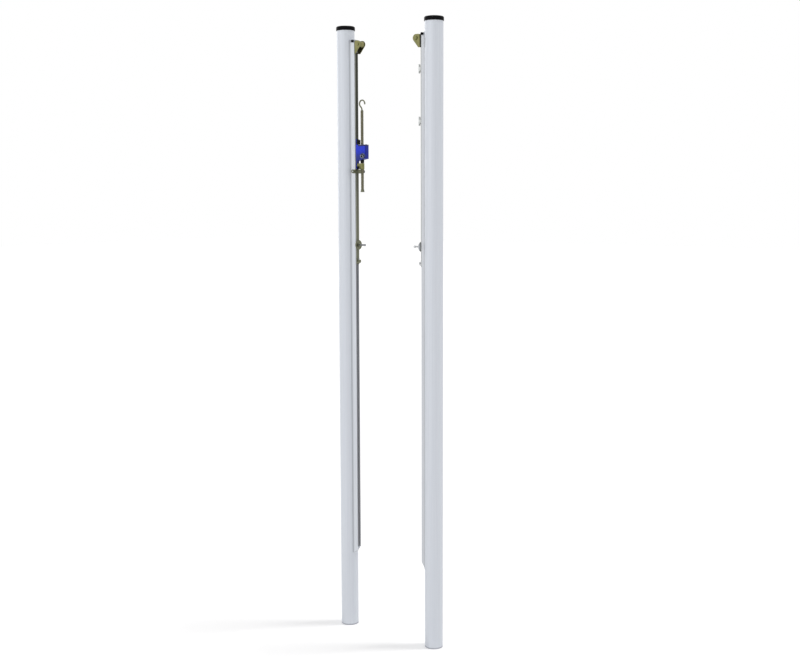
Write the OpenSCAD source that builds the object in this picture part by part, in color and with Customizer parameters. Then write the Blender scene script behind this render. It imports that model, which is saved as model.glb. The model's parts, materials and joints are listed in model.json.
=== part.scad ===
// A pair of volleyball net posts for ground sleeves: a tension post with a spindle tensioner,
// and an anchor post. The tension post stands at the origin and its rail faces +X, towards
// the anchor post. The anchor post is the same construction, mirrored.

/* [Posts] */
// Overall height of a post, from its foot to the top of its cap
post_h = 2869; // [2600:1:3000]
// Outer diameter of the tube
tube_d = 83; // [76:1:102]
// Wall of the tube
tube_wall = 4; // [3:0.5:5]
// Distance between the two posts' axes
post_gap = 514; // [420:1:1200]
// Depth that a post goes into its ground sleeve
sleeve_depth = 350; // [300:5:400]
// Width of the insertion mark round the tube
mark_w = 2; // [1.5:0.5:3]
// Depth of the insertion mark
mark_depth = 0.6; // [0.5:0.1:0.8]

/* [Cap and foot plug] */
// How far the cap stands out from the tube
cap_overhang = 2.5; // [1:0.5:4]
// Height of the cap
cap_h = 19.5; // [16:0.5:36]
// Rounding of the cap's top edge
cap_round = 7; // [3:1:9]
// Thickness of the cap's top
cap_top = 6; // [3:1:7]
// Wall of the plugs that go into the tube
plug_wall = 4; // [3:0.5:6]
// Length of the cap's plug below the tube's rim
cap_plug_h = 34; // [20:1:60]
// Height of the foot plug's flange, which the tube stands on
foot_flange_h = 6; // [4:0.5:8]
// Length of the foot plug inside the tube
foot_plug_h = 60; // [40:1:90]

/* [Rail] */
// How far the rail stands out from the tube
rail_out = 21; // [20:0.5:24]
// Width of the rail's front
rail_w = 24; // [23:0.5:28]
// Width of the rail's foot on the tube
rail_foot_w = 40; // [34:1:46]
// Radius of the flare between the rail's side and its foot
rail_flare = 12; // [9:1:16]
// Thickness of the foot's edge
rail_foot_t = 2.5; // [1.5:0.5:4]
// Width of the slot
slot_w = 10; // [9:0.5:12]
// Thickness of the slot's lips
lip_t = 3.5; // [3:0.25:4.5]
// Width of the channel behind the lips
channel_w = 17; // [15:0.5:19]
// Depth of the channel behind the lips
channel_d = 8; // [7:0.5:9]
// Height of the rail's lower end, at the tube
rail_low = 365; // [355:5:450]
// Rise of the slanted lower end, from the tube to the rail's front
rail_slant = 30; // [15:1:40]
// Distance from the rail's upper end to the top of the post
rail_top_gap = 77; // [66:1:110]
// Height of the rail's end piece
rail_cap_h = 12; // [8:1:16]
// Diameter of the stop screw's head, on the end piece's side
stop_head_d = 12; // [9:0.5:12]
// Height of the stop screw's head
stop_head_h = 8; // [5:0.5:10]
// Diameter of the stop screw's shank
stop_screw_d = 6; // [5:0.5:8]
// Length of the end piece's tongue in the channel
rail_tongue_h = 8; // [6:1:10]
// Number of screws that hold the rail
rail_screws_n = 7; // [5:1:9]
// Diameter of the rail's screws
rail_screw_d = 6; // [5:0.5:6.5]

/* [Slide bar] */
// Width of the bar
bar_w = 20; // [18:0.5:22]
// Thickness of the bar
bar_t = 3.2; // [3:0.1:5]
// Length of the bar
bar_len = 1026; // [1000:1:1080]
// Length of a sliding foot
foot_len = 40; // [36:1:50]
// Diameter of the bar's screws
bar_screw_d = 6; // [5:0.5:6.5]

/* [Head block] */
// Width of the block over its cheeks
block_w = 36.6; // [32:0.2:44]
// Height of the block
block_h = 58.5; // [54:0.5:64]
// Thickness of the block's plate
block_t = 3; // [2:0.5:4]
// Radius of the block's nose
nose_r = 16.5; // [15.5:0.5:19]
// Distance from the slide bar's front to the sheave's axis
nose_out = 22; // [21:0.5:26]
// Depth of the block at its lower end
block_toe = 8; // [6:0.5:12]
// Radius of the sheave
sheave_r = 14; // [13:0.5:14.5]
// Radius of the rope groove's section
groove_r = 10; // [9.5:0.5:12]
// Depth of the rope groove
groove_depth = 4.5; // [3.5:0.5:5]
// Diameter of the axle
axle_d = 8; // [7:0.5:9]
// Wall of the sheave's bush
bush_wall = 1.95; // [1.5:0.05:2.5]
// Diameter of the anchor post's rope pin
rope_pin_d = 12; // [10:0.5:14]

/* [Tensioner] */
// Distance from the post's axis to the spindle
spindle_out = 97; // [96:0.5:99]
// Diameter of the spindle
spindle_d = 14; // [13:0.5:15]
// Length of the spindle, without its hook
spindle_len = 374; // [350:1:420]
// Distance from the gear's middle down to the spindle's lower end
spindle_down = 179; // [161:1:185]
// Diameter of the spindle's flared stop
stop_d = 19; // [18:0.5:24]
// Height of the spindle's flared stop
stop_h = 13; // [10:1:18]
// Thickness of the hook's wire
hook_wire = 6.5; // [5:0.5:7]
// Inner radius of the hook's bend
hook_inner_r = 12.5; // [11:0.5:14]
// Distance from the spindle to the middle of the hook's bend
hook_shift = 1; // [0:0.5:3]
// Length of the straight between the hook's two bends
hook_straight = 4; // [2:0.5:6]
// Width of the gear housing
housing_w = 30; // [30:0.5:36]
// Distance from the gear's middle up to the housing's top
housing_up = 40; // [38:1:43]
// Distance from the gear's middle down to the housing's lower edge at the back plate
housing_down = 35; // [33:1:39]
// Rise of the housing's lower edge towards its nose
housing_rise = 10; // [4:1:12]
// Wall of the housing beyond the worm
housing_wall = 2.5; // [2:0.5:4]
// Thickness of the housing's lid
lid_t = 7; // [5:0.5:8]
// Width of the blue back plate
plate_w = 20; // [18:0.5:24]
// Thickness of the blue back plate
plate_t = 4; // [3:0.5:5]
// Distance from the gear's middle down to the back plate's lower end
plate_down = 72; // [71:1:73]
// Distance from the gear's middle up to the back plate's upper end
plate_up = 66; // [64:1:74]

/* [Gear] */
// Number of the nut wheel's teeth
wheel_teeth = 12; // [12:1:14]
// Number of the worm's threads
worm_starts = 4; // [3:1:4]
// Pitch radius of the nut wheel
wheel_r = 10.8; // [10.8:0.1:11]
// Pitch radius of the worm
worm_r = 7; // [6.8:0.1:7.4]
// Height of a tooth above the pitch circle
tooth_add = 1.2; // [1:0.1:1.3]
// Share of the pitch that a tooth of the nut wheel takes
tooth_share = 0.38; // [0.32:0.01:0.4]
// Share of the pitch that a thread of the worm takes
thread_share = 0.36; // [0.28:0.01:0.38]
// Distance from the rail's upper end down to the gear's middle
gear_drop = 509; // [480:1:540]
// Width of the nut wheel's teeth
wheel_face = 8; // [6:0.5:10]
// Length of the worm's threads
worm_len = 17; // [14:0.5:18]
// Radius of the crank socket
socket_r = 9.5; // [9:0.5:10]
// Diameter of the socket's bore
socket_bore = 10.2; // [9.8:0.1:10.6]
// Depth of the socket's bore
socket_depth = 14; // [10:1:14]

/* [Lower fittings] */
// Distance from the gear's middle down to the lock's screw
lock_down = 83; // [82:1:91]
// Width of the lock block
lock_w = 50; // [46:1:60]
// Height of the lock block
lock_h = 18; // [14:1:18]
// Diameter of the lock's screw
lock_screw_d = 8; // [7:0.5:9]
// Distance from the slide bar's lower end up to the clamp
clamp_up = 91; // [82:1:102]
// Radius of the dished hand nut
hand_nut_r = 23; // [20:0.5:28]
// Number of grips round the hand nut
grips_n = 18; // [12:1:24]
// Diameter of the clamp's stud
stud_d = 8; // [7:0.5:9]
// Distance from the slide bar's front to the end of the stud's knob
stud_out = 47; // [40:1:55]
// Distance from the rail's upper end down to the anchor post's upper cleat
cleat_high_drop = 144; // [130:1:160]
// Distance from the rail's upper end down to the anchor post's lower cleat
cleat_low_drop = 374; // [362:1:392]
// Length of a cleat over its horns
cleat_len = 40; // [36:1:46]

/* [Hidden] */
$fn = 64;

// Clearances: between pieces that slide, between seated round pieces, and of a running fit
slide_gap = 0.3;
seat_gap = 0.1;
run_gap = 0.05;
// Overlap of cutting tools past the faces that they cut
cut = 1;

// Finishes, as in the photograph
aluminium = [0.82, 0.84, 0.87];
black_plastic = [0.05, 0.05, 0.06];
yellow_zinc = [0.63, 0.62, 0.36];
blue_enamel = [0.16, 0.20, 0.72];
bronze = [0.62, 0.47, 0.27];
olive_zinc = [0.42, 0.43, 0.33];
grey_plastic = [0.62, 0.64, 0.68];
steel = [0.50, 0.49, 0.44];

// Tube and rail
tube_r = tube_d / 2;
cap_r = tube_r + cap_overhang;
bore_r = tube_r - tube_wall;
rail_front = tube_r + rail_out;
rail_top = post_h - rail_top_gap;
lip_back = rail_front - lip_t;
channel_back = lip_back - channel_d;
stop_x = rail_front - stop_head_d / 2 - 1.5;
stop_z = rail_top + rail_cap_h / 2;
stop_depth = rail_w * 3 / 4;
foot_half = rail_foot_w / 2;
foot_step = (rail_foot_w - rail_w) / 2;
foot_edge_x = sqrt(tube_r * tube_r - foot_half * foot_half) + rail_foot_t;
flare_x = foot_edge_x + sqrt(2 * foot_step * rail_flare - foot_step * foot_step);
rail_screw_sink = 2.5;
rail_screw_end = 60;
rail_screw_pitch = (rail_top - rail_low - rail_slant - 2 * rail_screw_end) / (rail_screws_n - 1);

// Fittings: all of them hang from the slide bar, so their heights follow its two ends
gear_z = rail_top - gear_drop;
housing_top = gear_z + housing_up;
housing_low = gear_z - housing_down;
plate_low = gear_z - plate_down;
plate_top = gear_z + plate_up;
spindle_low = gear_z - spindle_down;
lock_z = gear_z - lock_down;
cleat_high = rail_top - cleat_high_drop;
cleat_low = rail_top - cleat_low_drop;

// Slide bar: it hangs just under the rail's end piece
bar_back = rail_front + slide_gap;
bar_front = bar_back + bar_t;
top_foot_z = rail_top - rail_tongue_h - slide_gap - foot_len / 2;
bar_top = rail_top;
bar_low = bar_top - bar_len;
mid_foot_z = gear_z;
clamp_z = bar_low + clamp_up;
foot_screw_step = foot_len / 3;
screw_sink = 2.2;
fitting_screw_d = 5;
cord_hook_screw_z = bar_low + 24;
plate_screw_low = plate_low + 6;
plate_screw_high = plate_top - 12;
tension_bar_holes = [plate_screw_low, plate_screw_high, cord_hook_screw_z];
anchor_bar_holes = [cleat_low, cleat_high, cord_hook_screw_z];

// Head block
block_top = rail_top + 6.5;
block_low = block_top - block_h;
nose_x = bar_front + nose_out;
nose_z = block_top - nose_r;
block_corner = 8;
cheek_gap = 0.3;
head_t = 3;

// Tensioner
plate_front = bar_front + plate_t;
worm_x = spindle_out + wheel_r + worm_r;
worm_tip_r = worm_r + tooth_add;
worm_root_r = worm_r - tooth_add - 0.1;
wheel_tip_r = wheel_r + tooth_add;
wheel_hub_r = wheel_r - tooth_add - 0.15;
worm_bore_r = worm_tip_r + 0.5;
housing_front = worm_x + worm_bore_r + housing_wall;
housing_round = 5;
lid_screw_r = 1.6;
wheel_bore_r = wheel_tip_r + 0.65;
housing_floor = housing_low + housing_rise + 1;
lid_low = housing_top - lid_t;
lid_back = spindle_out - wheel_bore_r - 0.35;
bush_low_h = 6;
bush_high_h = 10;
spindle_r = spindle_d / 2;
// The worm leans by its own lead angle, so its threads stand upright where they meet the wheel
lead_angle = asin(worm_starts * wheel_r / (wheel_teeth * worm_r));
worm_lead = 2 * PI * worm_r * tan(lead_angle);
tooth_pitch = 2 * PI * wheel_r / wheel_teeth;
journal_r = 7;
crank_bush_from = worm_len / 2 + 2.5;
crank_bush_to = 20;
socket_from = crank_bush_to + slide_gap;
socket_to = 30;
tail_r = 4;
tail_to = 12.5;
spigot_h = 5;
boss_r = worm_bore_r + 2.3;
wiper_r = spindle_r + 1.6;
wiper_low = housing_low - 9;
arm_low = wiper_low - 15;
arm_top = wiper_low - 2;
guide_low = lock_z + 9;
guide_r = spindle_r + 2.8;

// Hook
hook_r = hook_inner_r + hook_wire / 2;
hook_x = spindle_out + hook_shift;
spindle_top = spindle_low + spindle_len;
hook_turn = 45;
swivel_depth = 14;
shank_r = hook_wire / 2 - 0.05;
key_w = 4;
key_depth = 1.8;
// The neck's bend ends on the spindle's axis
neck_r = (spindle_out - hook_x + (hook_r - hook_straight) * cos(hook_turn)) / (1 - cos(hook_turn));

module tension_side() {
    children();
}

module anchor_side() {
    translate([post_gap, 0, 0]) mirror([1, 0, 0]) children();
}

// A round bar along X, from x0 to x1
module bar_x(x0, x1, r, y = 0, z = 0) {
    translate([x0, y, z]) rotate([0, 90, 0]) cylinder(h = x1 - x0, r = r);
}

// A round bar along Y, from y0 to y1
module bar_y(y0, y1, r, x = 0, z = 0) {
    translate([x, y0, z]) rotate([-90, 0, 0]) cylinder(h = y1 - y0, r = r);
}

// A round bar along Z whose upper edge is rounded
module domed_bar(h, r, dome) {
    rotate_extrude() {
        square([r, h - dome]);
        square([r - dome, h]);
        translate([r - dome, h - dome]) circle(r = dome);
    }
}

// A block between two corners
module block(low, high) {
    translate(low) cube(high - low);
}

// A side view drawn in X and Z, given its width along Y
module side_view(y0, y1) {
    translate([0, y1, 0]) rotate([90, 0, 0]) linear_extrude(height = y1 - y0) children();
}

module post_tube() {
    color(aluminium) difference() {
        translate([0, 0, foot_flange_h])
            cylinder(h = post_h - cap_top - foot_flange_h, r = tube_r, $fn = 128);
        cylinder(h = post_h, r = bore_r, $fn = 128);
        translate([0, 0, sleeve_depth]) difference() {
            cylinder(h = mark_w, r = tube_r + cut, $fn = 128);
            translate([0, 0, -cut])
                cylinder(h = mark_w + 2 * cut, r = tube_r - mark_depth, $fn = 128);
        }
        for (i = [0 : rail_screws_n - 1])
            bar_x(bore_r - 2, tube_r + cut, rail_screw_d / 2 + run_gap, z = rail_screw_z(i));
    }
}

module post_cap() {
    skirt_low = post_h - cap_h;
    rim_z = post_h - cap_top;
    color(black_plastic) rotate_extrude($fn = 128) {
        difference() {
            union() {
                translate([0, skirt_low]) square([cap_r - cap_round, cap_h]);
                translate([0, skirt_low]) square([cap_r, cap_h - cap_round]);
                translate([cap_r - cap_round, post_h - cap_round]) circle(r = cap_round);
            }
            translate([0, skirt_low - cut])
                square([tube_r + seat_gap, cap_h - cap_top + cut]);
        }
        translate([bore_r - plug_wall, rim_z - cap_plug_h])
            square([plug_wall - seat_gap, cap_plug_h + cut]);
    }
}

module foot_plug() {
    color(grey_plastic) difference() {
        union() {
            cylinder(h = foot_flange_h, r = tube_r, $fn = 128);
            cylinder(h = foot_flange_h + foot_plug_h, r = bore_r - seat_gap, $fn = 128);
        }
        translate([0, 0, foot_flange_h])
            cylinder(h = foot_plug_h + cut, r = bore_r - plug_wall, $fn = 128);
    }
}

function rail_screw_z(i) = rail_low + rail_slant + rail_screw_end + i * rail_screw_pitch;

// Outline of the rail: a box with rounded front corners on a foot that flares out to the tube
module rail_outline() {
    corner = 1.5;
    difference() {
        union() {
            translate([tube_r - 6, -rail_w / 2]) square([rail_out + 6 - corner, rail_w]);
            translate([tube_r, -rail_w / 2 + corner]) square([rail_out, rail_w - 2 * corner]);
            for (side = [-1, 1])
                translate([rail_front - corner, side * (rail_w / 2 - corner)]) circle(r = corner);
            difference() {
                translate([tube_r - 10, -foot_half]) square([flare_x - tube_r + 10, rail_foot_w]);
                for (side = [-1, 1])
                    translate([flare_x, side * (rail_w / 2 + rail_flare)]) circle(r = rail_flare);
            }
        }
        circle(r = tube_r + seat_gap, $fn = 128);
    }
}

module rail() {
    color(aluminium) difference() {
        translate([0, 0, rail_low]) linear_extrude(height = rail_top - rail_low) difference() {
            rail_outline();
            translate([channel_back, -channel_w / 2]) square([channel_d, channel_w]);
            translate([lip_back - cut, -slot_w / 2]) square([lip_t + 2 * cut, slot_w]);
        }
        // the lower end slants down from the front to the tube
        side_view(-foot_half - cut, foot_half + cut) polygon([
            [tube_r - 20, rail_low - cut],
            [tube_r, rail_low],
            [rail_front, rail_low + rail_slant],
            [rail_front + 20, rail_low + rail_slant],
            [rail_front + 20, rail_low - cut]
        ]);
        for (i = [0 : rail_screws_n - 1]) {
            bar_x(tube_r - 6, channel_back + cut, rail_screw_d / 2 + run_gap, z = rail_screw_z(i));
            translate([channel_back - rail_screw_sink, 0, rail_screw_z(i)]) rotate([0, 90, 0])
                cylinder(h = rail_screw_sink + 0.01, r1 = rail_screw_d / 2 + run_gap,
                         r2 = rail_screw_d / 2 + rail_screw_sink + run_gap);
        }
    }
}

module rail_screws() {
    color(steel) for (i = [0 : rail_screws_n - 1]) {
        bar_x(bore_r - 8, channel_back - rail_screw_sink, rail_screw_d / 2, z = rail_screw_z(i));
        translate([channel_back - rail_screw_sink - 0.01, 0, rail_screw_z(i)]) rotate([0, 90, 0])
            cylinder(h = rail_screw_sink, r1 = rail_screw_d / 2,
                     r2 = rail_screw_d / 2 + rail_screw_sink);
    }
}

module rail_cap() {
    side = -rail_w / 2;
    color(grey_plastic) difference() {
        union() {
            translate([0, 0, rail_top]) linear_extrude(height = rail_cap_h) rail_outline();
            translate([channel_back + seat_gap, seat_gap - channel_w / 2, rail_top - rail_tongue_h])
                cube([channel_d - 2 * seat_gap, channel_w - 2 * seat_gap, rail_tongue_h + 0.01]);
        }
        bar_y(side - cut, side + stop_depth + slide_gap, stop_screw_d / 2 + run_gap,
              x = stop_x, z = stop_z);
        // the flat that the screw's head seats on
        bar_y(side - rail_foot_w, side, stop_head_d / 2 + slide_gap, x = stop_x, z = stop_z);
    }
}

// The black screw that stops the slide at the rail's upper end
module stop_screw() {
    side = -rail_w / 2;
    color(black_plastic) {
        bar_y(side - stop_head_h, side, stop_head_d / 2, x = stop_x, z = stop_z);
        bar_y(side, side + stop_depth, stop_screw_d / 2, x = stop_x, z = stop_z);
    }
}

// Holes through the foot and the bar for a pair of screws, one above and one below z
module foot_screw_holes(z) {
    for (side = [-1, 1])
        bar_x(channel_back - cut, bar_front + block_t, bar_screw_d / 2 + run_gap,
              z = z + side * foot_screw_step);
}

// Countersunk heads below the face at x: the screws' own, or the sinks for them with a gap
module screw_heads(x, z, gap = 0) {
    for (side = [-1, 1])
        translate([x - screw_sink, 0, z + side * foot_screw_step]) rotate([0, 90, 0])
            cylinder(h = screw_sink + (gap > 0 ? 0.01 : 0), r1 = bar_screw_d / 2 + gap,
                     r2 = bar_screw_d / 2 + screw_sink + gap);
}

module foot_screws(x, z) {
    screw_heads(x, z);
    for (side = [-1, 1])
        bar_x(channel_back + 1, x - screw_sink + 0.01, bar_screw_d / 2,
              z = z + side * foot_screw_step);
}

// The slide bar, with small holes at the given heights for what is screwed on its front
module slide_bar(fitting_holes) {
    color(olive_zinc) difference() {
        block([bar_back, -bar_w / 2, bar_low], [bar_front, bar_w / 2, bar_top]);
        foot_screw_holes(top_foot_z);
        foot_screw_holes(mid_foot_z);
        screw_heads(bar_front, mid_foot_z, run_gap);
        bar_x(bar_back - cut, bar_front + cut, stud_d / 2 + run_gap, z = clamp_z);
        for (z = fitting_holes)
            bar_x(bar_back - cut, bar_front + cut, fitting_screw_d / 2 + run_gap, z = z);
    }
}

// One sliding foot: a head in the channel and a neck through the slot
module slide_foot(z) {
    head_w = channel_w - 2 * slide_gap;
    neck_w = slot_w - 2 * slide_gap;
    block([channel_back + slide_gap, -head_w / 2, z - foot_len / 2],
          [lip_back - slide_gap, head_w / 2, z + foot_len / 2]);
    block([lip_back - slide_gap - 0.01, -neck_w / 2, z - foot_len / 2],
          [bar_back, neck_w / 2, z + foot_len / 2]);
}

module slide_feet() {
    color(steel) difference() {
        for (z = [top_foot_z, mid_foot_z, clamp_z]) slide_foot(z);
        foot_screw_holes(top_foot_z);
        foot_screw_holes(mid_foot_z);
        bar_x(channel_back - cut, bar_front, stud_d / 2 + run_gap, z = clamp_z);
    }
}

// Screws of the feet: the upper pair also holds the block, the middle pair is flush in the bar
module bar_screws() {
    color(steel) {
        foot_screws(bar_front + block_t, top_foot_z);
        foot_screws(bar_front, mid_foot_z);
        bar_x(bar_back, bar_front + 3, fitting_screw_d / 2, z = cord_hook_screw_z);
        bar_x(bar_front + 3, bar_front + 5, fitting_screw_d / 2 + 1.8, z = cord_hook_screw_z);
    }
}

// Side view of the head block: a straight back, a round nose and a tapering lower edge
function tangent_angle(c, r, p) =
    atan2(p[1] - c[1], p[0] - c[0]) + acos(r / norm(p - c));

module block_view(inset = 0) {
    toe = [bar_front + block_toe, block_low];
    centre = [nose_x, nose_z];
    r = nose_r;
    a = tangent_angle(centre, r, toe);
    translate(centre) circle(r = r, $fn = 96);
    translate([bar_front + block_corner, block_top - block_corner]) circle(r = block_corner);
    polygon([
        [bar_front, block_low],
        toe,
        centre + r * [cos(a), sin(a)],
        centre,
        [nose_x, block_top],
        [bar_front + block_corner, block_top],
        [bar_front + block_corner, block_top - block_corner],
        [bar_front, block_top - block_corner]
    ]);
}

// The block from above: its back corners are the rounded bends of the folded plate
module fold_view() {
    bend = 2 * block_t;
    half = block_w / 2;
    translate([bar_front + bend, -half]) square([2 * nose_out + nose_r, block_w]);
    translate([bar_front, bend - half]) square([2 * bend, block_w - 2 * bend]);
    for (side = [-1, 1])
        translate([bar_front + bend, side * (half - bend)]) circle(r = bend);
}

module head_block(hole_d) {
    inner = block_w / 2 - block_t;
    roof = bar_front + 8;
    color(yellow_zinc) difference() {
        intersection() {
            side_view(-block_w / 2, block_w / 2) block_view();
            translate([0, 0, block_low - cut]) linear_extrude(height = block_h + 2 * cut) fold_view();
        }
        // the space between the cheeks, with a short roof left over its back
        side_view(-inner, inner) difference() {
            translate([bar_front + block_t, block_low - cut])
                square([2 * nose_out + nose_r, block_h + 2 * cut]);
            translate([bar_front, block_top - block_t]) square([roof - bar_front, block_t + 2 * cut]);
        }
        bar_y(-block_w, block_w, hole_d / 2 + run_gap, x = nose_x, z = nose_z);
        foot_screw_holes(top_foot_z);
        screw_heads(bar_front + block_t, top_foot_z, run_gap);
    }
}

module pin_with_heads(d) {
    half = block_w / 2;
    bar_y(-half, half, d / 2, x = nose_x, z = nose_z);
    for (side = [-1, 1])
        bar_y(side > 0 ? half : -half - head_t, side > 0 ? half + head_t : -half,
              d / 2 + 2.5, x = nose_x, z = nose_z);
}

module sheave() {
    half = block_w / 2 - block_t - cheek_gap;
    color(yellow_zinc) translate([nose_x, 0, nose_z]) rotate([90, 0, 0]) difference() {
        rotate_extrude($fn = 96) difference() {
            translate([axle_d / 2 + run_gap + bush_wall, -half])
                square([sheave_r - axle_d / 2 - run_gap - bush_wall, 2 * half]);
            translate([sheave_r - groove_depth + groove_r, 0]) circle(r = groove_r);
        }
    }
}

module sheave_bush() {
    half = block_w / 2 - block_t - cheek_gap;
    color(bronze) translate([nose_x, half, nose_z]) rotate([90, 0, 0]) difference() {
        cylinder(h = 2 * half, r = axle_d / 2 + run_gap + bush_wall - 0.02);
        translate([0, 0, -cut]) cylinder(h = 2 * half + 2 * cut, r = axle_d / 2 + run_gap);
    }
}

// Tensioner
module back_plate() {
    color(blue_enamel) difference() {
        block([bar_front, -plate_w / 2, plate_low], [plate_front, plate_w / 2, plate_top]);
        for (z = [plate_screw_low, plate_screw_high])
            bar_x(bar_front - cut, plate_front + cut, fitting_screw_d / 2 + run_gap, z = z);
    }
}

// The lower screw's head is seen below the housing, the upper screw also holds the buffer
module plate_screws() {
    color(black_plastic) {
        bar_x(bar_back, plate_front, fitting_screw_d / 2, z = plate_screw_low);
        bar_x(plate_front, plate_front + 4, 5.2, z = plate_screw_low);
        bar_x(bar_back, plate_front + 6, fitting_screw_d / 2, z = plate_screw_high);
    }
}

module buffer() {
    depth = 10;
    low = housing_top + 2;
    color(black_plastic) difference() {
        side_view(-8, 8) polygon([
            [plate_front, low],
            [plate_front, plate_top],
            [plate_front + depth, plate_top - 4],
            [plate_front + depth, low]
        ]);
        bar_x(plate_front - cut, plate_front + 6 + run_gap, fitting_screw_d / 2 + run_gap,
              z = plate_screw_high);
    }
}

// Puts children on the worm's axis: local +Z runs to the crank socket, down and to the front
module on_worm_axis() {
    translate([worm_x, 0, gear_z]) rotate([90 + lead_angle, 0, 0]) children();
}

module housing_body() {
    intersection() {
        side_view(-housing_w / 2, housing_w / 2) polygon([
            [plate_front, housing_low],
            [plate_front, housing_top],
            [housing_front, housing_top],
            [housing_front, housing_low + housing_rise]
        ]);
        translate([0, 0, housing_low - cut]) linear_extrude(height = housing_top - housing_low + 2 * cut)
            union() {
                translate([plate_front, -housing_w / 2])
                    square([housing_front - plate_front - housing_round, housing_w]);
                translate([plate_front, -housing_w / 2 + housing_round])
                    square([housing_front - plate_front, housing_w - 2 * housing_round]);
                for (side = [-1, 1])
                    translate([housing_front - housing_round,
                               side * (housing_w / 2 - housing_round)]) circle(r = housing_round);
            }
    }
}

// Space that the lid takes at the top of the housing
module lid_space(gap = 0) {
    block([lid_back - gap, -housing_w, lid_low], [housing_front + cut, housing_w, housing_top + cut]);
}

module housing() {
    color(blue_enamel) difference() {
        union() {
            difference() {
                housing_body();
                lid_space();
            }
            on_worm_axis() cylinder(h = crank_bush_to, r = boss_r);
        }
        translate([spindle_out, 0, housing_floor])
            cylinder(h = housing_top, r = wheel_bore_r);
        translate([spindle_out, 0, housing_low - cut])
            cylinder(h = housing_rise + 4, r = wiper_r + run_gap);
        on_worm_axis() {
            translate([0, 0, -worm_len / 2 - 0.5]) cylinder(h = 60, r = worm_bore_r);
            translate([0, 0, -tail_to - 0.5]) cylinder(h = tail_to, r = tail_r + run_gap);
            translate([0, 0, crank_bush_to]) cylinder(h = 60, r = socket_r + slide_gap);
        }
        for (p = lid_screw_places)
            translate([p[0], p[1], lid_low - 8]) cylinder(h = 9, r = lid_screw_r + run_gap);
    }
}

lid_screw_places = [
    [lid_back + 3.5, -housing_w / 2 + 3.2],
    [lid_back + 3.5, housing_w / 2 - 3.2],
    [housing_front - 5, 0]
];

module housing_lid() {
    color(blue_enamel) difference() {
        intersection() {
            housing_body();
            lid_space(-seat_gap);
        }
        translate([spindle_out, 0, lid_low - cut]) cylinder(h = lid_t + 2 * cut, r = spindle_r + 0.4);
        for (p = lid_screw_places)
            translate([p[0], p[1], lid_low - cut]) cylinder(h = lid_t + 2 * cut, r = lid_screw_r + run_gap);
    }
}

module lid_screws() {
    color(steel) for (p = lid_screw_places) {
        translate([p[0], p[1], lid_low - 7]) cylinder(h = lid_t + 7, r = lid_screw_r);
        translate([p[0], p[1], housing_top]) cylinder(h = 2, r = 3);
    }
}

// One straight-sided tooth, drawn from inside the root to the tip
module tooth(root_r, tip_r, pitch_r, width) {
    slope = 0.18;
    polygon([
        [root_r - 0.6, -width / 2 - slope * (pitch_r - root_r)],
        [tip_r, -width / 2 + slope * (tip_r - pitch_r)],
        [tip_r, width / 2 - slope * (tip_r - pitch_r)],
        [root_r - 0.6, width / 2 + slope * (pitch_r - root_r)]
    ]);
}

module nut_wheel() {
    foot = housing_floor + slide_gap;
    top = lid_low - slide_gap;
    color(bronze) difference() {
        union() {
            translate([spindle_out, 0, foot]) cylinder(h = top - foot, r = wheel_hub_r);
            translate([spindle_out, 0, gear_z - wheel_face / 2])
                linear_extrude(height = wheel_face)
                    for (i = [0 : wheel_teeth - 1]) rotate(360 * (i + 0.5) / wheel_teeth)
                        tooth(wheel_hub_r, wheel_tip_r, wheel_r, tooth_share * tooth_pitch);
        }
        translate([spindle_out, 0, foot - cut])
            cylinder(h = top - foot + 2 * cut, r = spindle_r + run_gap);
    }
}

module nut_bushes() {
    color(bronze) for (span = [[housing_floor, bush_low_h], [lid_low - bush_high_h, bush_high_h]])
        translate([spindle_out, 0, span[0]]) difference() {
            cylinder(h = span[1], r = wheel_bore_r - run_gap);
            translate([0, 0, -cut]) cylinder(h = span[1] + 2 * cut, r = wheel_hub_r + run_gap);
        }
}

// The worm: steep threads, a tail journal and a spigot that is fixed in the socket's shank
module crank_worm() {
    across = thread_share * tooth_pitch / sin(lead_angle);
    half = worm_len / 2;
    color(steel) on_worm_axis() {
        translate([0, 0, -half])
            linear_extrude(height = worm_len, twist = -360 * worm_len / worm_lead, slices = 14)
                rotate(180 - 360 * half / worm_lead) worm_section(across);
        translate([0, 0, -tail_to]) cylinder(h = tail_to, r = tail_r);
        cylinder(h = half + spigot_h, r = tail_r);
    }
}

// The crank's socket, with a cross slot for the crank's drive pin, on its bearing journal
module crank_socket() {
    half = worm_len / 2;
    color(steel) on_worm_axis() difference() {
        union() {
            translate([0, 0, half]) cylinder(h = socket_to - half, r = journal_r);
            translate([0, 0, socket_from]) cylinder(h = socket_to - socket_from, r = socket_r);
        }
        translate([0, 0, half - cut]) cylinder(h = spigot_h + cut, r = tail_r + run_gap);
        translate([0, 0, socket_to - socket_depth])
            cylinder(h = socket_depth + cut, r = socket_bore / 2);
        translate([-2, -socket_r - cut, socket_to - 5])
            cube([4, 2 * socket_r + 2 * cut, 5 + cut]);
    }
}

module worm_section(across) {
    circle(r = worm_root_r, $fn = 32);
    for (i = [0 : worm_starts - 1]) rotate(360 * i / worm_starts)
        tooth(worm_root_r, worm_tip_r, worm_r, across);
}

module crank_bush() {
    color(bronze) on_worm_axis() translate([0, 0, crank_bush_from]) difference() {
        cylinder(h = crank_bush_to - crank_bush_from, r = worm_bore_r - run_gap);
        translate([0, 0, -cut]) cylinder(h = crank_bush_to, r = journal_r + run_gap);
    }
}

module spindle_wiper() {
    color(black_plastic) translate([spindle_out, 0, wiper_low]) difference() {
        cylinder(h = housing_floor - wiper_low, r = wiper_r);
        translate([0, 0, -cut]) cylinder(h = housing_floor, r = spindle_r + slide_gap);
    }
}

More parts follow.
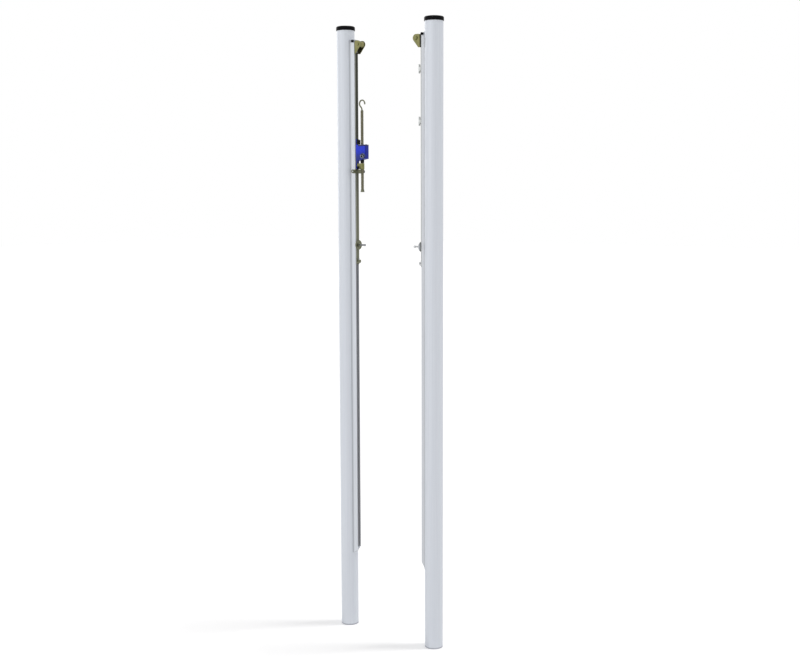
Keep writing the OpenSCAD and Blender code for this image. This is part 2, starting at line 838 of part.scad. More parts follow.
// The spindle, with a long keyway on the side of the post and a bore for the hook's shank
module spindle() {
    key_low = spindle_low + stop_h + 4;
    key_high = spindle_top - swivel_depth - 20;
    color(steel) translate([spindle_out, 0, 0]) difference() {
        translate([0, 0, spindle_low + stop_h]) cylinder(h = spindle_len - stop_h, r = spindle_r);
        translate([0, 0, spindle_top - swivel_depth])
            cylinder(h = swivel_depth + cut, r = shank_r + run_gap);
        translate([-spindle_r - cut, -key_w / 2, key_low])
            cube([key_depth + cut, key_w, key_high - key_low]);
    }
}

// A screw in the guide whose tip runs in the keyway, so the spindle can't turn with the nut
module guide_key() {
    key_z = guide_low + 5;
    tip = spindle_out - spindle_r + key_depth - slide_gap;
    color(steel) {
        bar_x(spindle_out - guide_r - 2, tip, key_w / 2 - slide_gap, z = key_z);
        bar_x(spindle_out - guide_r - 4, spindle_out - guide_r - 2, 3, z = key_z);
    }
}

module spindle_stop() {
    color(olive_zinc) translate([spindle_out, 0, spindle_low])
        cylinder(h = stop_h, r1 = stop_d / 2, r2 = spindle_r + 0.3);
}

// An open hook in the plane of the two posts: a bend, a short straight and a neck, on a shank
module hook() {
    neck_z = spindle_top + 2;
    bend_z = neck_z + (neck_r + hook_straight + hook_r) * sin(hook_turn);
    tip_turn = 10;
    joint = 0.6;
    color(olive_zinc) {
        translate([hook_x, 0, bend_z]) rotate([90, 0, 0]) rotate([0, 0, -tip_turn])
            rotate_extrude(angle = 180 + tip_turn + hook_turn, $fn = 96)
                translate([hook_r, 0]) circle(r = hook_wire / 2);
        translate([hook_x + hook_r * cos(tip_turn), 0, bend_z - hook_r * sin(tip_turn)])
            rotate([0, 180 + tip_turn, 0]) translate([0, 0, -joint])
                domed_bar(joint + shank_r / 2, shank_r, shank_r / 2 - 0.1);
        translate([spindle_out - neck_r * (1 - cos(hook_turn)), 0,
                   neck_z + neck_r * sin(hook_turn)]) rotate([0, -hook_turn, 0])
            translate([0, 0, -joint]) cylinder(h = hook_straight + 2 * joint, r = shank_r);
        translate([spindle_out - neck_r, 0, neck_z]) rotate([90, 0, 0])
            rotate_extrude(angle = hook_turn, $fn = 96)
                translate([neck_r, 0]) circle(r = hook_wire / 2);
        translate([spindle_out, 0, spindle_top - swivel_depth + 1])
            cylinder(h = neck_z - spindle_top + swivel_depth - 1 + joint, r = shank_r);
        translate([spindle_out, 0, spindle_top + slide_gap]) cylinder(h = 3, r = spindle_r - 1);
    }
}

module guide_bracket() {
    web = 5;
    color(yellow_zinc) difference() {
        union() {
            block([plate_front, -8, arm_low], [spindle_out, 8, arm_top]);
            translate([spindle_out, 0, guide_low]) cylinder(h = arm_top - guide_low, r = guide_r);
            side_view(-web / 2, web / 2) polygon([
                [plate_front + 10, arm_low + 1],
                [spindle_out, arm_low + 1],
                [spindle_out, arm_low - 4],
                [spindle_out - guide_r, arm_low - 4]
            ]);
        }
        translate([spindle_out, 0, guide_low - cut])
            cylinder(h = arm_top - guide_low + 2 * cut, r = spindle_r + slide_gap);
        bar_x(spindle_out - guide_r - cut, spindle_out, key_w / 2 - slide_gap + run_gap,
              z = guide_low + 5);
    }
}

// The lock: a yoke on the slide bar, clamped by a screw with a ring
lock_screw_x = bar_front + 6.5;
lock_front = bar_front + 12;

module lock_block() {
    jaw_gap = 0.5;
    color(olive_zinc) difference() {
        block([rail_front + jaw_gap, -lock_w / 2, lock_z - lock_h / 2],
              [lock_front, lock_w / 2, lock_z + lock_h / 2]);
        block([rail_front, -bar_w / 2 - seat_gap, lock_z - lock_h],
              [bar_front, bar_w / 2 + seat_gap, lock_z + lock_h]);
        bar_y(-lock_w, lock_w, lock_screw_d / 2 + run_gap, x = lock_screw_x, z = lock_z);
    }
}

module lock_eye_screw() {
    ring_r = 6.5;
    wire_r = 2.5;
    neck = 8;
    ring_y = -lock_w / 2 - neck - ring_r - wire_r + 1;
    color(olive_zinc) {
        bar_y(ring_y + ring_r, lock_w / 2 + 10, lock_screw_d / 2, x = lock_screw_x, z = lock_z);
        bar_y(-lock_w / 2 - slide_gap - 3, -lock_w / 2 - slide_gap, 6.5, x = lock_screw_x, z = lock_z);
        translate([lock_screw_x, ring_y, lock_z]) rotate([0, 90, 0]) rotate_extrude($fn = 48)
            translate([ring_r, 0]) circle(r = wire_r, $fn = 24);
    }
}

module lock_nut() {
    nut_r = 8.5;
    color(black_plastic) difference() {
        translate([lock_screw_x, lock_w / 2, lock_z]) rotate([-90, 0, 0])
            domed_bar(15, nut_r, nut_r / 2);
        bar_y(lock_w / 2 - cut, lock_w / 2 + 11, lock_screw_d / 2 + run_gap,
              x = lock_screw_x, z = lock_z);
    }
}

// The clamp: a stud from the lowest foot, a dished hand nut on it, and a knob for the cord
module clamp_stud() {
    color(steel) {
        bar_x(channel_back + 1, bar_front + stud_out - 4, stud_d / 2, z = clamp_z);
        bar_x(bar_front + stud_out - 9, bar_front + stud_out, 5.5, z = clamp_z);
    }
}

module hand_nut(finish) {
    hub_r = 8.5;
    hub_h = 10;
    rim_t = 2.5;
    dish = 3.5;
    grip_r = 2;
    color(finish) translate([bar_front + slide_gap, 0, clamp_z]) rotate([0, 90, 0]) difference() {
        rotate_extrude($fn = 96) polygon([
            [stud_d / 2 + run_gap, 0],
            [hub_r + 2, 0],
            [hand_nut_r - 3, dish - 1],
            [hand_nut_r, dish],
            [hand_nut_r, dish + rim_t],
            [hand_nut_r - 1.5, dish + rim_t + 1],
            [hub_r, rim_t + 1.5],
            [hub_r, hub_h - 1],
            [hub_r - 1, hub_h],
            [stud_d / 2 + run_gap, hub_h]
        ]);
        for (i = [0 : grips_n - 1]) rotate(360 * i / grips_n)
            translate([hand_nut_r + 1, 0, -cut]) cylinder(h = hub_h + 2 * cut, r = grip_r, $fn = 24);
    }
}

module cord_hook(finish) {
    color(finish) difference() {
        side_view(-8, 8) polygon([
            [bar_front, bar_low + 4],
            [bar_front, bar_low + 30],
            [bar_front + 3, bar_low + 30],
            [bar_front + 3, bar_low + 12],
            [bar_front + 9, bar_low + 12],
            [bar_front + 9, bar_low + 20],
            [bar_front + 13, bar_low + 21.5],
            [bar_front + 13, bar_low + 10],
            [bar_front + 9, bar_low + 6]
        ]);
        bar_x(bar_front - cut, bar_front + 4, fitting_screw_d / 2 + run_gap,
              z = cord_hook_screw_z);
    }
}

// Horn cleats on the anchor post's bar
module cleat(z) {
    half = cleat_len / 2;
    base = bar_front;
    horn_t = 4.5;
    side_view(-5, 5) {
        polygon([
            [base, z - 9], [base, z + 9],
            [base + 11, z + 6], [base + 13, z + half - 2],
            [base + 13 + horn_t, z + half - 2], [base + 12 + horn_t, z],
            [base + 13 + horn_t, z - half + 2], [base + 13, z - half + 2],
            [base + 11, z - 6]
        ]);
        for (side = [-1, 1])
            translate([base + 13 + horn_t / 2, z + side * (half - 2)]) circle(r = horn_t / 2, $fn = 24);
    }
}

module cleats() {
    color(aluminium) difference() {
        for (z = [cleat_high, cleat_low]) cleat(z);
        for (z = [cleat_high, cleat_low]) {
            bar_x(bar_front - cut, bar_front + 30, fitting_screw_d / 2 + run_gap, z = z);
            bar_x(bar_front + 12, bar_front + 30, fitting_screw_d / 2 + 1.6, z = z);
        }
    }
}

module cleat_screws() {
    color(steel) for (z = [cleat_high, cleat_low]) {
        bar_x(bar_back, bar_front + 12, fitting_screw_d / 2, z = z);
        bar_x(bar_front + 12, bar_front + 14.5, fitting_screw_d / 2 + 1.3, z = z);
    }
}

tension_side() post_tube();  // tension_tube
tension_side() post_cap();  // tension_cap
tension_side() foot_plug();  // tension_foot_plug
tension_side() rail();  // tension_rail
tension_side() rail_screws();  // tension_rail_screws
tension_side() rail_cap();  // tension_rail_cap
tension_side() stop_screw();  // tension_stop_screw
tension_side() slide_bar(tension_bar_holes);  // tension_slide_bar
tension_side() slide_feet();  // tension_slide_feet
tension_side() bar_screws();  // tension_bar_screws
tension_side() head_block(axle_d);  // pulley_block
tension_side() color(yellow_zinc) pin_with_heads(axle_d);  // pulley_axle
tension_side() sheave();  // pulley_sheave
tension_side() sheave_bush();  // pulley_bush
tension_side() back_plate();  // tensioner_back_plate
tension_side() buffer();  // tensioner_buffer
tension_side() housing();  // tensioner_housing
tension_side() housing_lid();  // tensioner_cover
tension_side() lid_screws();  // tensioner_cover_screws
tension_side() nut_wheel();
tension_side() nut_bushes();
tension_side() crank_worm();
tension_side() crank_socket();
tension_side() crank_bush();
tension_side() spindle_wiper();
tension_side() spindle();
tension_side() hook();  // spindle_hook
tension_side() spindle_stop();
tension_side() guide_bracket();
tension_side() guide_key();
tension_side() plate_screws();
tension_side() lock_block();
tension_side() lock_eye_screw();
tension_side() lock_nut();
tension_side() clamp_stud();  // tension_clamp_stud
tension_side() hand_nut(olive_zinc);  // tension_hand_nut
tension_side() cord_hook(olive_zinc);  // tension_cord_hook
anchor_side() post_tube();  // anchor_tube
anchor_side() post_cap();  // anchor_cap
anchor_side() foot_plug();  // anchor_foot_plug
anchor_side() rail();  // anchor_rail
anchor_side() rail_screws();  // anchor_rail_screws
anchor_side() rail_cap();  // anchor_rail_cap
anchor_side() stop_screw();  // anchor_stop_screw
anchor_side() slide_bar(anchor_bar_holes);  // anchor_slide_bar
anchor_side() slide_feet();  // anchor_slide_feet
anchor_side() bar_screws();  // anchor_bar_screws
anchor_side() head_block(rope_pin_d);  // anchor_block
anchor_side() color(yellow_zinc) pin_with_heads(rope_pin_d);  // anchor_pin
anchor_side() cleats();  // anchor_cleats
anchor_side() cleat_screws();  // anchor_cleat_screws
anchor_side() clamp_stud();  // anchor_clamp_stud
anchor_side() hand_nut(steel);  // anchor_hand_nut
anchor_side() cord_hook(steel);  // anchor_cord_hook
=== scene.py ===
# %% [markdown]
# # A pair of volleyball net posts
# This file dresses a finished construction model. The model's parts already stand in their places,
# in metres, so we never move them. We give every part a finish, and add what a construction model
# leaves out: screw threads, hexagon sockets, softened edges, a collar, a stiffening web and a cap.
#
# The tension post stands at the origin. The anchor post stands 0.514 m along X. Up is Z.
# The two posts mirror each other about the plane midway between them.

import json
import math

import bpy
from mathutils import Matrix, Vector


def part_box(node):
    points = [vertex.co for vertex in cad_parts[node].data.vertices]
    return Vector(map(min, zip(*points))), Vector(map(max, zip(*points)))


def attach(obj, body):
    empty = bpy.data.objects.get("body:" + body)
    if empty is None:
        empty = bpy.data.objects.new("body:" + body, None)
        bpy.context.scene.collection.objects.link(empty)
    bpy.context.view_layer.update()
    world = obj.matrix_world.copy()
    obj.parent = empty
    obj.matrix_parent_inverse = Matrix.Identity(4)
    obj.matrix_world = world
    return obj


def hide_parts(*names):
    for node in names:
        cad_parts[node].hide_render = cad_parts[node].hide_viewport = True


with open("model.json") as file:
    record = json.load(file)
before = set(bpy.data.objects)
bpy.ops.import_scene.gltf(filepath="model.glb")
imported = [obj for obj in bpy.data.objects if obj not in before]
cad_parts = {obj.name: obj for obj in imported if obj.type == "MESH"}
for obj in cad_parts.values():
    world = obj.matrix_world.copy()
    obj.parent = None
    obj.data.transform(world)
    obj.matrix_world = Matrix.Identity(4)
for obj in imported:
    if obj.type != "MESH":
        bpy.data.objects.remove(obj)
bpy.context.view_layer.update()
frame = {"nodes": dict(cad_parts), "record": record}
POST_GAP = 0.514
MIDWAY = POST_GAP / 2.0
body_of = {node: body for body, nodes in frame["record"]["behaviour"]["bodies"].items()
           for node in nodes}

# %% [markdown]
# ## The camera
# The photograph looks past the anchor post at the tension post, from a little above the middle.
# We could aim a camera by hand until it looks right. We know instead where the two axes and both
# feet fall in the picture, and the camera's place follows from that: a 54 mm lens on a 36 mm
# sensor, 6.6 degrees down, and a very slight roll that the posts' lean gives away.
# We build the camera's own right, up and back directions, which is clearer than three turn angles.

# %% Camera
eye = Vector((3.742, -4.324, 2.090))
heading = Vector((-0.6208, 0.7840, 0.0)).normalized()
tilt = math.radians(6.56)
roll = math.radians(0.17)
look = (heading * math.cos(tilt) - Vector((0, 0, 1)) * math.sin(tilt)).normalized()
level = Vector((heading.y, -heading.x, 0.0))
upward = level.cross(look)
right = level * math.cos(roll) - upward * math.sin(roll)
upward = right.cross(look)

camera = bpy.data.objects.new("camera", bpy.data.cameras.new("camera"))
bpy.context.scene.collection.objects.link(camera)
camera.data.sensor_width = 36.0
camera.data.lens = 54.0
camera.data.clip_end = 60.0
turn = Matrix((right, upward, -look)).transposed()
camera.matrix_world = Matrix.Translation(eye) @ turn.to_4x4()
bpy.context.scene.camera = camera
print("camera at", tuple(round(v, 3) for v in eye))

# %% [markdown]
# ## Selecting
# A Blender operator acts on everything that is selected, and the model's parts are selected once
# they are loaded. So we deselect before we add anything, and choose a piece before we work on it.

# %% Helpers for selecting
def deselect():
    """Nothing stays selected, so the next operator acts only on what we choose."""
    for thing in bpy.context.selected_objects:
        thing.select_set(False)


def choose(thing):
    """Only this thing is selected, and it is the active one."""
    deselect()
    thing.select_set(True)
    bpy.context.view_layer.objects.active = thing


deselect()
print("selected now:", len(bpy.context.selected_objects))

# %% [markdown]
# ## The floor
# The picture is a product shot on white, with a faint soft shadow at each foot. More light would
# make the floor white, but it would bleach the posts too. So the floor is white paper with a small
# lift that only the camera and mirror-like surfaces see. In open light it just reaches white, and
# every shadow still shows.

# %% Floor
FLOOR_LIFT = 0.25
FLOOR_SIZE = 80.0
FLOOR_DROP = 0.0005

bpy.ops.mesh.primitive_plane_add(size=FLOOR_SIZE, location=(0.0, 0.0, -FLOOR_DROP))
floor = bpy.context.active_object
floor.name = "floor"
floor_paint = bpy.data.materials.new("white_floor")
floor_paint.use_nodes = True
floor_tree = floor_paint.node_tree
floor_tree.nodes.clear()
paper = floor_tree.nodes.new("ShaderNodeBsdfDiffuse")
paper.inputs["Color"].default_value = (0.94, 0.93, 0.92, 1.0)
glow = floor_tree.nodes.new("ShaderNodeEmission")
glow.inputs["Color"].default_value = (1.0, 1.0, 1.0, 1.0)
rays = floor_tree.nodes.new("ShaderNodeLightPath")
seen_rays = floor_tree.nodes.new("ShaderNodeMath")
seen_rays.operation = "MAXIMUM"
lift = floor_tree.nodes.new("ShaderNodeMath")
lift.operation = "MULTIPLY"
lift.inputs[1].default_value = FLOOR_LIFT
total = floor_tree.nodes.new("ShaderNodeAddShader")
floor_out = floor_tree.nodes.new("ShaderNodeOutputMaterial")
floor_tree.links.new(rays.outputs["Is Camera Ray"], seen_rays.inputs[0])
floor_tree.links.new(rays.outputs["Is Glossy Ray"], seen_rays.inputs[1])
floor_tree.links.new(seen_rays.outputs[0], lift.inputs[0])
floor_tree.links.new(lift.outputs[0], glow.inputs["Strength"])
floor_tree.links.new(paper.outputs[0], total.inputs[0])
floor_tree.links.new(glow.outputs[0], total.inputs[1])
floor_tree.links.new(total.outputs[0], floor_out.inputs["Surface"])
floor.data.materials.append(floor_paint)
print("floor", floor.dimensions[:2])

# %% [markdown]
# ## Daylight from all sides
# The room round the posts is white too. A backdrop could be a curved sheet behind them, but then
# every other view would need one. We use the world instead. It is white where the camera, a glossy
# surface or a see-through one looks at it. To the parts it gives only plain light, and less of it.

# %% World
DAYLIGHT = 0.55

world = bpy.data.worlds.new("studio")
bpy.context.scene.world = world
world.use_nodes = True
nodes, links = world.node_tree.nodes, world.node_tree.links
nodes.clear()
output = nodes.new("ShaderNodeOutputWorld")
seen = nodes.new("ShaderNodeBackground")
seen.inputs["Color"].default_value = (1.0, 1.0, 1.0, 1.0)
seen.inputs["Strength"].default_value = 1.0
given = nodes.new("ShaderNodeBackground")
given.inputs["Color"].default_value = (0.97, 0.98, 1.0, 1.0)
given.inputs["Strength"].default_value = DAYLIGHT
path = nodes.new("ShaderNodeLightPath")
either = nodes.new("ShaderNodeMath")
either.operation = "MAXIMUM"
either_or_through = nodes.new("ShaderNodeMath")
either_or_through.operation = "MAXIMUM"
mix = nodes.new("ShaderNodeMixShader")
links.new(path.outputs["Is Camera Ray"], either.inputs[0])
links.new(path.outputs["Is Glossy Ray"], either.inputs[1])
links.new(either.outputs[0], either_or_through.inputs[0])
links.new(path.outputs["Is Transmission Ray"], either_or_through.inputs[1])
links.new(either_or_through.outputs[0], mix.inputs["Fac"])
links.new(given.outputs[0], mix.inputs[1])
links.new(seen.outputs[0], mix.inputs[2])
links.new(mix.outputs[0], output.inputs["Surface"])
bpy.context.scene.view_settings.view_transform = "Standard"
print("world gives", DAYLIGHT)

# %% [markdown]
# ## Lamps
# Lamps near the posts would light the floor unevenly. All three lamps are far away, so the floor
# gets the same light everywhere and stays white.
# Two wide ones stand low on the left. One of them is behind the posts and gives the tubes their
# bright left rim, and the other lights their left halves.
# The narrow one stands high on the right and throws the faint shadows that run off to the left of
# each foot.

# %% Lamps
def far_lamp(name, side, ahead, height, spread, strength):
    """A lamp far away. Side is along the camera's right, ahead along its heading."""
    lamp = bpy.data.objects.new(name, bpy.data.lights.new(name, "SUN"))
    lamp.data.angle = math.radians(spread)
    lamp.data.energy = strength
    bpy.context.scene.collection.objects.link(lamp)
    towards = level * side + heading * ahead + Vector((0, 0, height))
    lamp.rotation_euler = towards.to_track_quat("Z", "Y").to_euler()
    lamp.location = towards * 3.0
    return lamp


far_lamp("rim_lamp", side=-0.6, ahead=0.8, height=0.12, spread=45.0, strength=0.5)
far_lamp("front_lamp", side=-0.85, ahead=-0.55, height=0.25, spread=75.0, strength=0.5)
far_lamp("shadow_lamp", side=1.0, ahead=0.05, height=3.0, spread=8.0, strength=0.95)

# %% [markdown]
# ## Finishes
# No surface of a real post is one flat colour. A photograph of each metal could be laid on, but it
# would stretch and show seams. Noise is endless and fits any shape, so each finish starts from one
# small helper. It lays a noise pattern in the part's own coordinates, stretched along the direction
# in which the real surface was drawn, brushed or plated. The noise then moves the colour a little
# between two close tones, moves the roughness, and feeds a fine bump.

# %% A helper for finishes
BUMP_HEIGHT = 0.0004


def finish(name, tones, metal, rough, grain, rough_swing=0.08, bump=0.1, coat=0.0, detail=4.0,
           shine=0.5):
    """A procedural finish: two tones mixed by stretched noise, with its roughness and bump."""
    paint = bpy.data.materials.new(name)
    paint.use_nodes = True
    tree = paint.node_tree
    shader = tree.nodes["Principled BSDF"]
    shader.inputs["Metallic"].default_value = metal
    shader.inputs["Specular IOR Level"].default_value = shine
    shader.inputs["Coat Weight"].default_value = coat
    shader.inputs["Coat Roughness"].default_value = 0.12
    where = tree.nodes.new("ShaderNodeTexCoord")
    stretch = tree.nodes.new("ShaderNodeMapping")
    stretch.inputs["Scale"].default_value = grain
    noise = tree.nodes.new("ShaderNodeTexNoise")
    noise.inputs["Scale"].default_value = 1.0
    noise.inputs["Detail"].default_value = detail
    noise.inputs["Roughness"].default_value = 0.6
    ramp = tree.nodes.new("ShaderNodeValToRGB")
    for stop, position, tone in zip(ramp.color_ramp.elements, (0.3, 0.7), tones):
        stop.position = position
        stop.color = (*tone, 1.0)
    spread = tree.nodes.new("ShaderNodeMapRange")
    spread.inputs["To Min"].default_value = rough - rough_swing
    spread.inputs["To Max"].default_value = rough + rough_swing
    relief = tree.nodes.new("ShaderNodeBump")
    relief.inputs["Strength"].default_value = bump
    relief.inputs["Distance"].default_value = BUMP_HEIGHT
    tree.links.new(where.outputs["Object"], stretch.inputs["Vector"])
    tree.links.new(stretch.outputs["Vector"], noise.inputs["Vector"])
    tree.links.new(noise.outputs["Fac"], ramp.inputs["Fac"])
    tree.links.new(noise.outputs["Fac"], spread.inputs["Value"])
    tree.links.new(noise.outputs["Fac"], relief.inputs["Height"])
    tree.links.new(ramp.outputs["Color"], shader.inputs["Base Color"])
    tree.links.new(spread.outputs["Result"], shader.inputs["Roughness"])
    tree.links.new(relief.outputs["Normal"], shader.inputs["Normal"])
    return paint


def even(scale):
    """A grain that is as fine in every direction."""
    return (scale, scale, scale)


print("bumps up to", BUMP_HEIGHT, "m")

# %% [markdown]
# ### Aluminium
# The tube and the rail are drawn aluminium with a satin anodised layer, which looks pale and
# slightly blue. Drawing leaves very fine lines along the post. They could be cut into the mesh, but
# they are finer than a pixel, so their grain is only stretched along Z.
# The anchor post's rail faces the other way, and its tones are painted greyer as painted shade.

# %% Aluminium
rail_grain = (420.0, 420.0, 3.0)

tube_finish = finish("anodised_tube", [(0.655, 0.685, 0.74), (0.715, 0.745, 0.795)], metal=0.40,
                     rough=0.46, grain=(320.0, 320.0, 2.5), rough_swing=0.06, bump=0.05)
rail_finish = finish("anodised_rail", [(0.66, 0.69, 0.74), (0.73, 0.76, 0.80)], metal=0.45,
                     rough=0.42, grain=rail_grain, bump=0.06)
# Painted shade: greyer tones for the anchor post's rail, which faces the other way.
rail_finish_painted_shade = finish("anodised_rail_painted_shade", [(0.57, 0.59, 0.625), (0.64, 0.66, 0.69)],
                         metal=0.45, rough=0.42, grain=rail_grain, bump=0.06)
cleat_finish = finish("cast_aluminium", [(0.70, 0.72, 0.71), (0.80, 0.82, 0.81)], metal=0.25,
                      rough=0.5, grain=even(300.0), bump=0.15)
print("aluminium: tube, two rails, cleats")

# %% [markdown]
# ### Plastic and rubber
# The caps are black plastic that hardly shines, so their specular level is low. A lower colour
# alone would not do, because the white room would still lie on them as a grey veil.

# %% Plastic and rubber
black_finish = finish("black_plastic", [(0.003, 0.003, 0.0035), (0.006, 0.006, 0.007)],
                      metal=0.0, rough=0.46, grain=even(900.0), bump=0.12, shine=0.05)
rubber_finish = finish("black_rubber", [(0.004, 0.004, 0.0045), (0.010, 0.010, 0.011)],
                       metal=0.0, rough=0.75, grain=even(500.0), bump=0.2, shine=0.2)
foot_finish = finish("grey_plastic", [(0.46, 0.48, 0.53), (0.54, 0.56, 0.61)], metal=0.0,
                     rough=0.6, grain=even(200.0))
print("plastic and rubber: cap, rubber, foot")

# %% [markdown]
# ### Plating, steel and bronze
# Yellow zinc plating is never one even colour: it wanders between straw, olive and a hint of rose.
# One plain yellow would look like paint, so its noise has more detail and its shine wanders too.
# The spindle is oiled steel, and the anchor post's small fittings are plated bright.

# %% Plating, steel and bronze
zinc_finish = finish("yellow_zinc", [(0.170, 0.175, 0.062), (0.280, 0.260, 0.115)], metal=0.7,
                     rough=0.38, grain=(55.0, 55.0, 38.0), rough_swing=0.12, bump=0.06,
                     detail=6.0)
# Painted shade: the slide bar's tones are dark to stand for the shade on its front face.
bar_finish_painted_shade = finish("zinc_painted_shade", [(0.026, 0.028, 0.018), (0.048, 0.050, 0.034)], metal=0.5,
                    rough=0.48, grain=(120.0, 120.0, 6.0), rough_swing=0.1, bump=0.05, shine=0.3)
olive_finish = finish("olive_zinc", [(0.120, 0.128, 0.080), (0.205, 0.205, 0.140)], metal=0.7,
                      rough=0.40, grain=even(70.0), rough_swing=0.1, bump=0.06)
bronze_finish = finish("turned_bronze", [(0.42, 0.26, 0.10), (0.52, 0.34, 0.15)], metal=0.95,
                       rough=0.32, grain=(30.0, 30.0, 700.0), bump=0.08)
spindle_finish = finish("oiled_spindle", [(0.15, 0.145, 0.095), (0.24, 0.225, 0.16)], metal=0.85,
                        rough=0.40, grain=(120.0, 120.0, 220.0), rough_swing=0.12)
steel_finish = finish("zinc_plated_steel", [(0.24, 0.25, 0.26), (0.36, 0.37, 0.38)], metal=0.9,
                      rough=0.34, grain=even(260.0), rough_swing=0.10, bump=0.06)
bright_finish = finish("bright_zinc_plate", [(0.58, 0.59, 0.60), (0.70, 0.71, 0.72)], metal=0.6,
                       rough=0.40, grain=even(260.0), rough_swing=0.10, bump=0.06)
oxide_finish = finish("black_oxide", [(0.030, 0.032, 0.034), (0.055, 0.057, 0.060)], metal=0.6,
                      rough=0.42, grain=even(300.0), rough_swing=0.10, bump=0.06, shine=0.3)
print("metals: zinc, bar, olive, bronze, spindle, steel, bright, oxide")

# %% [markdown]
# ### Enamel
# The tensioner is sprayed blue. Enamel has no metal in it, and dries with a slight orange peel. A
# mesh fine enough for that would be huge, so it is a low bump at a coarse grain. The lid is navy
# and has a glossier coat. The collar round the crank's socket wears the housing's enamel, rubbed
# grey.

# %% Enamel
enamel_grain = even(160.0)

blue_finish = finish("blue_enamel", [(0.008, 0.022, 0.29), (0.013, 0.032, 0.38)], metal=0.0,
                     rough=0.38, grain=enamel_grain, rough_swing=0.05, shine=0.22)
# Painted highlight: the housing's tones are brighter than the plate's blue.
housing_finish_painted_light = finish("blue_enamel_painted_light", [(0.018, 0.040, 0.62), (0.030, 0.062, 0.78)],
                        metal=0.0, rough=0.38, grain=enamel_grain, rough_swing=0.05, shine=0.22)
navy_finish = finish("navy_enamel", [(0.004, 0.005, 0.09), (0.008, 0.010, 0.14)], metal=0.0,
                     rough=0.32, grain=enamel_grain, rough_swing=0.05, coat=0.3, shine=0.25)
collar_finish = finish("worn_enamel", [(0.040, 0.055, 0.125), (0.070, 0.090, 0.185)], metal=0.2,
                       rough=0.42, grain=even(300.0), rough_swing=0.10, bump=0.08, shine=0.3)
print("enamel: plate, housing, lid, collar")

# %% [markdown]
# ## Painted shade and highlights
# Most tones in this section are painted shade and painted highlights, and a little of them is wear.
# They could be painted on by hand, but a rule is exact and holds on both posts: the place of a
# point in the part's own coordinates says which tone it gets. These helpers turn a place into a
# share between 0 and 1, and a share into a mix of tones.

# %% Helpers for painted shade and highlights
def tone_mix(tree, low, high, share):
    """Two colours mixed by a share. A colour is an output socket or three fixed numbers."""
    mix = tree.nodes.new("ShaderNodeMix")
    mix.data_type = "RGBA"
    for socket_name, value in (("A", low), ("B", high)):
        place = next(s for s in mix.inputs if s.name == socket_name and s.type == "RGBA")
        if isinstance(value, tuple):
            place.default_value = (*value, 1.0)
        else:
            tree.links.new(value, place)
    tree.links.new(share, mix.inputs["Factor"])
    return next(s for s in mix.outputs if s.type == "RGBA")


def span(tree, value, low, high):
    """0 where the value is at or below low, 1 where it is at or above high, smooth between them."""
    ramp = tree.nodes.new("ShaderNodeMapRange")
    ramp.interpolation_type = "SMOOTHSTEP"
    ramp.inputs["From Min"].default_value = low
    ramp.inputs["From Max"].default_value = high
    tree.links.new(value, ramp.inputs["Value"])
    return ramp.outputs["Result"]


def place_in(tree):
    """The x, y and z of a point in the part's own coordinates, as three outputs."""
    where = tree.nodes.new("ShaderNodeTexCoord")
    parts = tree.nodes.new("ShaderNodeSeparateXYZ")
    tree.links.new(where.outputs["Object"], parts.inputs["Vector"])
    return parts.outputs


def reckon(tree, how, first, second=None, clamp=False):
    """One step of arithmetic. Each value is an output socket or a plain number."""
    step = tree.nodes.new("ShaderNodeMath")
    step.operation = how
    step.use_clamp = clamp
    for place, value in zip(step.inputs, (first, second)):
        if value is None:
            continue
        if isinstance(value, (int, float)):
            place.default_value = value
        else:
            tree.links.new(value, place)
    return step.outputs[0]


def open_up(paint):
    """A finish's node tree, its shader's colour socket, and the tone that feeds it."""
    tree = paint.node_tree
    colour = tree.nodes["Principled BSDF"].inputs["Base Color"]
    return tree, colour, colour.links[0].from_socket


print("helpers for wear ready")

# %% [markdown]
# ### The slide bar
# The slide bar is yellow zinc, and its tones are painted dark as painted shade on its front face.
# It is paler and more olive towards the bottom, and paler along both long edges. Two lengths with
# two finishes would show a step. Here the height above the floor picks the tone, and the distance
# from the bar's middle picks the pale edges.

# %% The slide bar's finish
BAR_PALE_BELOW, BAR_DARK_ABOVE = 1.80, 2.48
BAR_EDGE_START, BAR_EDGE = 0.0078, 0.0100

tree, colour, bar_shade_tone = open_up(bar_finish_painted_shade)
place = place_in(tree)
across = reckon(tree, "ABSOLUTE", place["Y"])
up_the_bar = span(tree, place["Z"], BAR_PALE_BELOW, BAR_DARK_ABOVE)
# Painted shade: the dark tone stays above, and the bar turns paler towards the bottom.
toned = tone_mix(tree, (0.165, 0.170, 0.118), bar_shade_tone, up_the_bar)
pale_edges = span(tree, across, BAR_EDGE_START, BAR_EDGE)
tree.links.new(tone_mix(tree, toned, (0.35, 0.36, 0.33), pale_edges), colour)
print("slide bar finish has", len(tree.nodes), "nodes")

# %% [markdown]
# ### The two blocks
# Both blocks are zinc plated all over. Between the cheeks their colour is painted dark, as shade.
# A block is one folded sheet, so its inside can't simply get another finish as a piece of its own.
# The cheeks' inner faces are 15.3 mm from the middle, and that distance tells inside from outside.

# %% The blocks' finish
CHEEK_INSIDE = 0.0153

block_finish_painted_shade = zinc_finish.copy()
block_finish_painted_shade.name = "yellow_zinc_block_painted_shade"
tree, colour, plated_tone = open_up(block_finish_painted_shade)
across = reckon(tree, "ABSOLUTE", place_in(tree)["Y"])
outside = span(tree, across, CHEEK_INSIDE - 0.0001, CHEEK_INSIDE + 0.0004)
# Painted shade: the dark olive tone inside the cheeks.
tree.links.new(tone_mix(tree, (0.045, 0.042, 0.024), plated_tone, outside), colour)
print("block finish has", len(tree.nodes), "nodes")

# %% [markdown]
# ### The crank's socket
# The crank's socket is blackened steel. Its end face is painted grey, partly for wear from the
# crank and partly as a painted highlight. The socket leans with the worm, so neither X, Y nor Z
# alone finds that face. The distance along the worm's axis does, and it is the dot product of a
# point with the axis direction.

